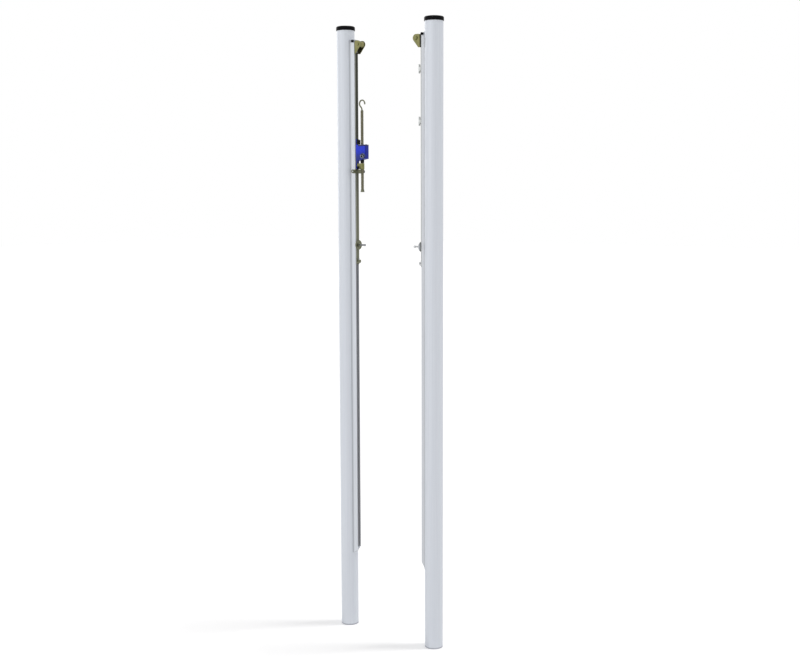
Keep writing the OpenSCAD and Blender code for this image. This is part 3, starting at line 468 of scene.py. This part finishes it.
# %% The crank socket's finish
WORM_START = Vector((0.1148, 0.0, 2.283))
WORM_AXIS = Vector((0.0, -0.857619, -0.514286))
SOCKET_END = 0.030


def along_worm(distance):
    """A point on the worm's axis, at a distance in metres from the gear's middle."""
    return WORM_START + WORM_AXIS * distance


socket_finish = oxide_finish.copy()
socket_finish.name = "oxide_worn_and_highlit"
tree, colour, black_tone = open_up(socket_finish)
where = tree.nodes.new("ShaderNodeTexCoord")
along = tree.nodes.new("ShaderNodeVectorMath")
along.operation = "DOT_PRODUCT"
along.inputs[1].default_value = WORM_AXIS
tree.links.new(where.outputs["Object"], along.inputs[0])
end_face = WORM_AXIS.dot(along_worm(SOCKET_END))
pale_end_face = span(tree, along.outputs["Value"], end_face - 0.0010, end_face - 0.0002)
# Partly wear and partly a painted highlight: the grey tone on the socket's end face.
tree.links.new(tone_mix(tree, black_tone, (0.25, 0.27, 0.33), pale_end_face), colour)
print("socket end at", tuple(round(v, 4) for v in along_worm(SOCKET_END)))

# %% [markdown]
# ### The housing
# The housing is the part that hands work at. Its enamel is painted brighter near the top than on
# its lower half, as a painted highlight, and its end face is painted darker, as painted shade. The
# height above the floor tells the halves apart, softly, and the distance from the post's axis finds
# the end face.

# %% The housing's finish
HOUSING_DARKER_BELOW, HOUSING_HIGHLIT_ABOVE = 2.262, 2.300

tree, colour, highlit_blue = open_up(housing_finish_painted_light)
place = place_in(tree)
housing_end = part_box("tensioner_housing")[1][0]
up_the_housing = span(tree, place["Z"], HOUSING_DARKER_BELOW, HOUSING_HIGHLIT_ABOVE)
# Painted highlight: the bright tone above, a plainer blue below.
graded_blue = tone_mix(tree, (0.020, 0.036, 0.28), highlit_blue, up_the_housing)
# Painted shade: the darker tone on the housing's end face.
end_face_shade = span(tree, place["X"], housing_end - 0.0020, housing_end - 0.0006)
tree.links.new(tone_mix(tree, graded_blue, (0.007, 0.018, 0.30), end_face_shade), colour)
print("housing's end face at x =", round(housing_end, 4))

# %% [markdown]
# ### The rails
# A rail's front face, on which the bar slides, is painted dark grey as painted shade. Inside the
# slot the painted shade is paler, yet darker than the clean metal.
# The painted shade stays just short of the rail's corners, and it ends where the rail's lower end
# is cut at a slant. A thin darker line of painted shade runs down the corner where the rail meets
# the tube. Dark strips could be modelled instead, but they would have no thickness that anyone
# could see.
# Both rails share these rules, so distances are taken from the plane midway between the posts.

# %% The rails' front face, slot and corners
TUBE_RADIUS = 0.0415
RAIL_FRONT = 0.0625
RAIL_SHADE_EDGE = 0.0108
RAIL_SLANT_TOP = 0.3945


def paint_rail_shade(paint):
    """Puts painted shade on a rail finish: on the front face, in the slot and along the corner
    line.
    """
    tree, colour, clean_tone = open_up(paint)
    place = place_in(tree)
    from_midway = reckon(tree, "ABSOLUTE", reckon(tree, "SUBTRACT", place["X"], MIDWAY))
    across = reckon(tree, "ABSOLUTE", place["Y"])
    front = MIDWAY - RAIL_FRONT
    deep = span(tree, from_midway, front + 0.0003, front + 0.0008)
    # Painted shade: dark grey on the front face, a paler grey deeper in the slot.
    front_shade = tone_mix(tree, (0.235, 0.245, 0.260), (0.56, 0.57, 0.59), deep)
    edge = span(tree, across, RAIL_SHADE_EDGE, RAIL_SHADE_EDGE + 0.0006)
    within = reckon(tree, "SUBTRACT", 1.0, edge)
    above = span(tree, place["Z"], RAIL_SLANT_TOP, RAIL_SLANT_TOP + 0.002)
    share = reckon(tree, "MULTIPLY", within, above, clamp=True)
    front_shaded_tone = tone_mix(tree, clean_tone, front_shade, share)
    from_axis = reckon(tree, "SUBTRACT", MIDWAY, from_midway)
    squares = reckon(tree, "ADD", reckon(tree, "MULTIPLY", from_axis, from_axis),
                     reckon(tree, "MULTIPLY", across, across))
    reach = reckon(tree, "SQRT", squares)
    off_tube = span(tree, reach, TUBE_RADIUS + 0.0013, TUBE_RADIUS + 0.0047)
    corner = reckon(tree, "SUBTRACT", 1.0, off_tube, clamp=True)
    corner = reckon(tree, "MULTIPLY", corner, 0.5)
    # Painted shade: a darker line in the corner against the tube.
    tree.links.new(tone_mix(tree, front_shaded_tone, (0.24, 0.25, 0.27), corner), colour)


paint_rail_shade(rail_finish)
paint_rail_shade(rail_finish_painted_shade)
print("rail finish has", len(rail_finish.node_tree.nodes), "nodes")

# %% [markdown]
# ## Dress the model
# The record says which material slot each node has. We could name a finish for all 54 nodes. One
# table that turns the slots into our finishes is shorter, and no node is forgotten. A second, short
# table holds the nodes whose finish differs from that of their slot.

# %% Put the finishes on the nodes
slot_finish = {
    "tube_aluminium": tube_finish, "rail_aluminium": rail_finish, "cleat_aluminium": cleat_finish,
    "black_plastic": black_finish, "black_rubber": rubber_finish, "foot_grey": foot_finish,
    "yellow_zinc": zinc_finish, "olive_zinc": olive_finish, "blue_enamel": blue_finish,
    "navy_enamel": navy_finish, "bronze": bronze_finish, "spindle_steel": spindle_finish,
    "bare_steel": steel_finish,
}
own_finish = {
    "tension_slide_bar": bar_finish_painted_shade, "anchor_slide_bar": bar_finish_painted_shade, "anchor_rail": rail_finish_painted_shade,
    "pulley_block": block_finish_painted_shade, "anchor_block": block_finish_painted_shade, "crank_socket": socket_finish,
    "tensioner_housing": housing_finish_painted_light, "plate_screws": oxide_finish, "guide_key": oxide_finish,
    "anchor_clamp_stud": bright_finish, "anchor_hand_nut": bright_finish,
    "anchor_cord_hook": bright_finish,
}
node_slot = {part["node"]: part["material_slot"] for part in frame["record"]["subparts"]}
node_finish = {name: slot_finish[slot] for name, slot in node_slot.items()}
node_finish.update(own_finish)
for name, node in frame["nodes"].items():
    for slot in node.material_slots:
        slot.material = node_finish[name]
    if not node.material_slots:
        node.data.materials.append(node_finish[name])
print("dressed", len(node_slot), "nodes,", len(own_finish), "with a finish of their own")

# %% [markdown]
# ## Pieces that add what the construction model leaves out
# The construction model has sharp edges, smooth spindles and plain screw heads. On the real posts
# the edges are broken, the spindle carries a coarse two-start thread and the screws have hexagon
# sockets. A bump in a material could fake all three, but it would not change the outline.
# A node's own mesh is never touched, so each of these pieces starts as a copy or from a fresh
# primitive, and then stands for its node.

# %% Helpers for pieces
WELD = 0.00001


def keep_as_piece(piece, node_name):
    """The piece rides on the node's body, hides the node and shares its finish."""
    piece.data.materials.clear()
    piece.data.materials.append(node_finish[node_name])
    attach(piece, body_of[node_name])
    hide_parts(node_name)
    return piece


def copy_of(node_name):
    """A copy of a node's mesh as a piece of its own: doubled points merged, flat faces joined."""
    mesh = frame["nodes"][node_name].data.copy()
    piece = bpy.data.objects.new(node_name + "_dressed", mesh)
    mesh.name = piece.name
    bpy.context.scene.collection.objects.link(piece)
    choose(piece)
    if mesh.has_custom_normals:
        bpy.ops.mesh.customdata_custom_splitnormals_clear()
    bpy.ops.object.mode_set(mode="EDIT")
    bpy.ops.mesh.select_all(action="SELECT")
    bpy.ops.mesh.remove_doubles(threshold=WELD)
    bpy.ops.mesh.dissolve_limited(angle_limit=math.radians(0.6))
    bpy.ops.object.mode_set(mode="OBJECT")
    return piece


print("bodies that pieces can ride on:", len(set(body_of.values())))

# %% [markdown]
# ### Edges broken as on cast, folded and machined parts
# A perfectly sharp edge never catches the light, and a real one always does. Each edge could be
# chosen by hand, but a bevel that is limited by angle finds them all.
# One list says how large the round is: more on castings and mouldings, less on folded sheet.
# The anchor post's matching parts get the same rounds.

# %% Broken edges
def break_edges(piece, width, segments=2):
    """Every edge sharper than 32 degrees gets a small round."""
    choose(piece)
    bevel = piece.modifiers.new("broken_edges", "BEVEL")
    bevel.width = width
    bevel.segments = segments
    bevel.limit_method = "ANGLE"
    bevel.angle_limit = math.radians(32.0)
    bevel.use_clamp_overlap = True
    bpy.ops.object.modifier_apply(modifier=bevel.name)
    bpy.ops.object.shade_smooth_by_angle(angle=math.radians(40.0))
    return piece


rounds = {
    "tensioner_housing": 0.0014, "tensioner_cover": 0.0012, "tensioner_back_plate": 0.0007,
    "tensioner_buffer": 0.0012, "lock_block": 0.0009,
    "pulley_block": 0.0005, "anchor_block": 0.0005, "pulley_axle": 0.0006, "anchor_pin": 0.0007,
    "tension_cord_hook": 0.0005, "anchor_cord_hook": 0.0005, "anchor_cleats": 0.0009,
    "tension_hand_nut": 0.0005, "anchor_hand_nut": 0.0005, "spindle_stop": 0.0006,
    "tension_rail_cap": 0.0007, "anchor_rail_cap": 0.0007, "crank_socket": 0.0004,
}
for name, width in rounds.items():
    keep_as_piece(break_edges(copy_of(name), width), name)
print("broken edges on", len(rounds), "pieces")

# %% [markdown]
# ### The guide bracket's web
# A web stiffens the bracket under its arm. It starts as a cube between the arm and the guide. The
# edge that is lowest and nearest the post is pulled up and away from it, which makes the slanted
# side. A web laid against the bracket would leave a seam, so the two are united into one solid.

# %% Web
WEB_MIDDLE, WEB_SIZE = (0.0855, 0.0, 2.2180), (0.0150, 0.0070, 0.0140)
WEB_PULLED_TO = (0.0820, 2.2125)


def combine(piece, tool, how):
    """The tool is cut away from the piece or united with it, and then the tool is gone."""
    choose(piece)
    step = piece.modifiers.new("combine", "BOOLEAN")
    step.operation = how
    step.solver = "EXACT"
    step.object = tool
    bpy.ops.object.modifier_apply(modifier=step.name)
    bpy.data.objects.remove(tool, do_unlink=True)
    return piece


def settle():
    """Bakes the active object's place, turn and size into its mesh."""
    bpy.ops.object.transform_apply(location=True, rotation=True, scale=True)
    return bpy.context.active_object


deselect()
bpy.ops.mesh.primitive_cube_add(size=1.0, location=WEB_MIDDLE, scale=WEB_SIZE)
web = settle()
for point in web.data.vertices:
    if point.co.x < WEB_MIDDLE[0] and point.co.z < WEB_MIDDLE[2]:
        point.co.x, point.co.z = WEB_PULLED_TO
bracket = combine(copy_of("guide_bracket"), web, "UNION")
keep_as_piece(break_edges(bracket, 0.0006), "guide_bracket")
print("bracket with its web:", len(bracket.data.polygons), "faces")

# %% [markdown]
# ### The rubber cap
# A rubber cap covers the back plate's lower screw, so that the lock cannot scratch the plate. A
# plain cylinder would look like a cut rod. So its rim is rounded, and its end face is inset and
# pushed in to leave a shallow dish.

# %% Rubber cap
CAP_RADIUS, CAP_LENGTH = 0.0065, 0.0095
CAP_MIDDLE = (0.07475, 0.0, 2.2170)

deselect()
bpy.ops.mesh.primitive_cylinder_add(vertices=40, radius=CAP_RADIUS, depth=CAP_LENGTH,
                                    location=CAP_MIDDLE, rotation=(0.0, math.pi / 2.0, 0.0))
cap = settle()
cap.name = "plate_screw_cap"
break_edges(cap, 0.0012, segments=3)
bpy.ops.object.mode_set(mode="EDIT")
bpy.ops.mesh.select_all(action="DESELECT")
bpy.ops.object.mode_set(mode="OBJECT")
for face in cap.data.polygons:
    face.select = face.normal.x > 0.99 and face.center.x > CAP_MIDDLE[0] + 0.45 * CAP_LENGTH
bpy.ops.object.mode_set(mode="EDIT")
bpy.ops.mesh.select_mode(type="FACE")
bpy.ops.mesh.inset(thickness=0.0012, depth=0.0)
bpy.ops.mesh.inset(thickness=0.0010, depth=-0.0008)
bpy.ops.object.mode_set(mode="OBJECT")
cap.data.materials.append(rubber_finish)
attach(cap, body_of["plate_screws"])
print("rubber cap:", len(cap.data.polygons), "faces")

# %% [markdown]
# ### The collar round the crank's socket
# A collar sits on the housing where the crank's socket comes out. It could be spun from a profile,
# but both its walls are straight, so two cylinders do. The first stands on the worm's axis and gets
# a rounded rim, and the second cuts its bore half a millimetre wider than the socket that turns in
# it.

# %% Collar
COLLAR_PLACE = along_worm(0.02025)
COLLAR_RADIUS, COLLAR_BORE, COLLAR_LENGTH = 0.0112, 0.0100, 0.0095


def on_the_worm(radius, depth):
    """A cylinder round the worm's axis, at the collar's place."""
    deselect()
    bpy.ops.mesh.primitive_cylinder_add(vertices=64, radius=radius, depth=depth,
                                        location=COLLAR_PLACE,
                                        rotation=WORM_AXIS.to_track_quat("Z", "Y").to_euler())
    return bpy.context.active_object


collar = on_the_worm(COLLAR_RADIUS, COLLAR_LENGTH)
collar.name = "crank_collar"
settle()
break_edges(collar, 0.0010, segments=3)
combine(collar, on_the_worm(COLLAR_BORE, 2.0 * COLLAR_LENGTH + 0.001), "DIFFERENCE")
collar.data.materials.append(collar_finish)
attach(collar, body_of["tensioner_housing"])
print("collar:", len(collar.data.polygons), "faces")

# %% [markdown]
# ### Hexagon sockets
# The screws are driven by a hexagon key. A socket could be drawn as a dark hexagon, but a real one
# is a hole that catches shade. It is a six-sided prism cut out of a copy of the screws. Its place
# is the head's face, and the prism stands along the screw.

# %% A helper for sockets
TO_THE_LEFT, TO_THE_RIGHT = (-1.0, 0.0, 0.0), (1.0, 0.0, 0.0)
TO_THE_VIEWER, UPWARDS = (0.0, -1.0, 0.0), (0.0, 0.0, 1.0)


def socket(piece, place, along, across, depth):
    """Cuts one hexagon socket, given its width across flats and its depth."""
    bpy.ops.mesh.primitive_cylinder_add(vertices=6, radius=across / math.sqrt(3.0),
                                        depth=2.0 * depth, location=place)
    tool = bpy.context.active_object
    tool.rotation_euler = Vector(along).to_track_quat("Z", "Y").to_euler()
    bpy.context.view_layer.update()
    return combine(piece, tool, "DIFFERENCE")


def socketed(node_name, places, along, across, depth, edge):
    """Copies a node's screws, cuts a socket at each place and gives the edges a small round."""
    screws = copy_of(node_name)
    for place in places:
        socket(screws, place, along, across, depth)
    return keep_as_piece(break_edges(screws, edge), node_name)


print("a 4 mm socket is", round(0.008 / math.sqrt(3.0), 5), "m over its corners")

# %% [markdown]
# Both posts have the same screws in the bar and in the rail. We could cut one post's and mirror
# them, but a mirror turns a mesh inside out. So one list gives each distance from a post's axis,
# and on the anchor post it is taken the other way.

# %% Sockets on both posts
SIDES = (("tension", False), ("anchor", True))
BAR_HEAD, HOOK_HEAD, RAIL_HEAD = 0.069, 0.071, 0.051
BLOCK_MIDDLE, BLOCK_SCREWS_APART = 2.7637, 0.013333
rail_screw_heights = [0.455 + 0.3795 * i for i in range(7)]
bar_heads = [(BAR_HEAD, BLOCK_MIDDLE - BLOCK_SCREWS_APART),
             (BAR_HEAD, BLOCK_MIDDLE + BLOCK_SCREWS_APART), (HOOK_HEAD, 1.790)]


def from_post(distance, flip):
    """The x at a distance from a post's axis, towards the other post."""
    return POST_GAP - distance if flip else distance


for side, flip in SIDES:
    inward = TO_THE_LEFT if flip else TO_THE_RIGHT
    heads = [(from_post(x, flip), 0.0, z) for x, z in bar_heads]
    socketed(side + "_bar_screws", heads, inward, across=0.004, depth=0.0014, edge=0.0003)
    heads = [(from_post(RAIL_HEAD, flip), 0.0, z) for z in rail_screw_heights]
    socketed(side + "_rail_screws", heads, inward, across=0.004, depth=0.0015, edge=0.0002)
print("sockets on each post:", len(bar_heads) + len(rail_screw_heights))

# %% [markdown]
# The cleats, the rails' end pieces, the back plate and the gear housing's lid have screws of their
# own. They are few and stand in four directions, so their places are given one by one. The screw
# through a rail's end piece comes in from the side that the photograph shows.

# %% The other sockets
cleat_heads = [(from_post(0.0805, True), 0.0, z) for z in (2.648, 2.418)]
stop_heads = [(from_post(0.055, flip), -0.020, 2.798) for side, flip in SIDES]
plate_head = (0.074, 0.0, 2.217)
lid_heads = [(0.0875, -0.0118, 2.325), (0.0875, 0.0118, 2.325), (0.121, 0.0, 2.325)]

socketed("anchor_cleat_screws", cleat_heads, TO_THE_LEFT, across=0.003, depth=0.0016, edge=0.0004)
for (side, flip), head in zip(SIDES, stop_heads):
    socketed(side + "_stop_screw", [head], TO_THE_VIEWER, across=0.005, depth=0.0035, edge=0.0006)
socketed("plate_screws", [plate_head], TO_THE_RIGHT, across=0.004, depth=0.0025, edge=0.0005)
socketed("tensioner_cover_screws", lid_heads, UPWARDS, across=0.0022, depth=0.0013, edge=0.0003)
print("sockets in the lid:", len(lid_heads))

# %% [markdown]
# ### Threads
# A thread could be many rings on a rod, but rings don't climb. It is made as a lathe makes it: one
# short zigzag line, the profile of one lead, is turned and lifted at the same time by a screw
# modifier. Planes then cut the long helix to length and close its ends.

# %% A threaded rod
def threaded_rod(name, crest, root, pitch, starts, length, steps):
    """A rod along Z from 0 to length, centred on the Z axis."""
    points = []
    for start in range(starts):
        low = start * pitch
        points += [(root, low), (root, low + 0.22 * pitch), (crest, low + 0.42 * pitch),
                   (crest, low + 0.78 * pitch)]
    lead = starts * pitch
    points.append((root, lead))
    mesh = bpy.data.meshes.new(name)
    mesh.from_pydata([(r, 0.0, z - 2.0 * lead) for r, z in points],
                     [(i, i + 1) for i in range(len(points) - 1)], [])
    rod = bpy.data.objects.new(name, mesh)
    bpy.context.scene.collection.objects.link(rod)
    choose(rod)
    turn = rod.modifiers.new("helix", "SCREW")
    turn.axis = "Z"
    turn.angle = math.tau
    turn.screw_offset = lead
    turn.iterations = int(length / lead) + 4
    turn.steps = steps
    turn.render_steps = steps
    turn.use_merge_vertices = True
    turn.merge_threshold = WELD
    turn.use_smooth_shade = False
    bpy.ops.object.modifier_apply(modifier=turn.name)
    bpy.ops.object.mode_set(mode="EDIT")
    bpy.ops.mesh.select_all(action="SELECT")
    bpy.ops.mesh.remove_doubles(threshold=WELD)
    bpy.ops.mesh.bisect(plane_co=(0.0, 0.0, 0.0), plane_no=UPWARDS, use_fill=True,
                        clear_inner=True)
    bpy.ops.mesh.select_all(action="SELECT")
    bpy.ops.mesh.bisect(plane_co=(0.0, 0.0, length), plane_no=UPWARDS, use_fill=True,
                        clear_outer=True)
    bpy.ops.mesh.select_all(action="SELECT")
    bpy.ops.mesh.normals_make_consistent(inside=False)
    bpy.ops.object.mode_set(mode="OBJECT")
    return rod


def set_in_place(piece, turn, place):
    """Moves a finished piece and bakes the move into its mesh."""
    piece.matrix_world = Matrix.Translation(Vector(place)) @ turn
    choose(piece)
    return settle()


print("threads are welded at", WELD, "m")

# %% [markdown]
# The spindle's thread has a lead of 8 mm on two starts, which is the travel for one turn of the
# nut. Its keyway faces the post, and its upper end has the bore in which the hook's shank turns.
# Both could be part of the profile that makes the thread, but then they would twist with it. They
# are cut afterwards, as on a milling machine, so the thread's crests stop at their edges.

# %% Spindle
SPINDLE_LOW, SPINDLE_TOP, SPINDLE_X = 2.117, 2.478, 0.097
KEYWAY_LOW, KEYWAY_TOP, KEYWAY_WIDTH = 2.121, 2.444, 0.004
HOOK_BORE, HOOK_BORE_DEPTH = 0.00325, 0.014
THREAD_SMOOTHING = math.radians(28.0)

rod = threaded_rod("spindle_dressed", crest=0.0070, root=0.0058, pitch=0.004, starts=2,
                   length=SPINDLE_TOP - SPINDLE_LOW, steps=28)
set_in_place(rod, Matrix.Identity(4), (SPINDLE_X, 0.0, SPINDLE_LOW))
bpy.ops.mesh.primitive_cube_add(size=1.0,
                                scale=(KEYWAY_WIDTH, KEYWAY_WIDTH, KEYWAY_TOP - KEYWAY_LOW),
                                location=(SPINDLE_X - 0.0072, 0.0, (KEYWAY_LOW + KEYWAY_TOP) / 2.0))
combine(rod, bpy.context.active_object, "DIFFERENCE")
bpy.ops.mesh.primitive_cylinder_add(vertices=48, radius=HOOK_BORE, depth=2.0 * HOOK_BORE_DEPTH,
                                    location=(SPINDLE_X, 0.0, SPINDLE_TOP))
combine(rod, bpy.context.active_object, "DIFFERENCE")
bpy.ops.object.shade_smooth_by_angle(angle=THREAD_SMOOTHING)
keep_as_piece(rod, "spindle")
print("spindle:", len(rod.data.polygons), "faces")

# %% [markdown]
# Both clamps have an M8 stud with a 1.25 mm pitch and a turned knob, on which the lower net cord is
# wound. The knob is a cylinder with rounded rims, and a ring cuts the shallow groove round its
# middle. It is made upright, where its sizes are easy to give, and then turned and set in place.

# %% Clamp studs
STUD_LENGTH, KNOB_RADIUS, KNOB_LENGTH = 0.054, 0.0055, 0.009
KNOB_MIDDLE = (0.0, 0.0, 0.0565)
STUD_START, CLAMP_HEIGHT = 0.052, 1.857


def clamp_stud(node_name, flip):
    """The threaded stud with its knob, pointing from its post to the other one."""
    rod = threaded_rod(node_name + "_dressed", crest=0.0040, root=0.0034, pitch=0.00125, starts=1,
                       length=STUD_LENGTH, steps=24)
    bpy.ops.mesh.primitive_cylinder_add(vertices=48, radius=KNOB_RADIUS, depth=KNOB_LENGTH,
                                        location=KNOB_MIDDLE)
    knob = bpy.context.active_object
    break_edges(knob, 0.0012, segments=3)
    bpy.ops.mesh.primitive_torus_add(major_radius=0.0059, minor_radius=0.0009, major_segments=48,
                                     minor_segments=12, location=KNOB_MIDDLE)
    combine(knob, bpy.context.active_object, "DIFFERENCE")
    choose(rod)
    knob.select_set(True)
    bpy.ops.object.join()
    turn = Matrix.Rotation((-1.0 if flip else 1.0) * math.pi / 2.0, 4, "Y")
    set_in_place(rod, turn, (from_post(STUD_START, flip), 0.0, CLAMP_HEIGHT))
    bpy.ops.object.shade_smooth_by_angle(angle=THREAD_SMOOTHING)
    return keep_as_piece(rod, node_name)


for side, flip in SIDES:
    stud = clamp_stud(side + "_clamp_stud", flip)
    print(stud.name, "has", len(stud.data.polygons), "faces")
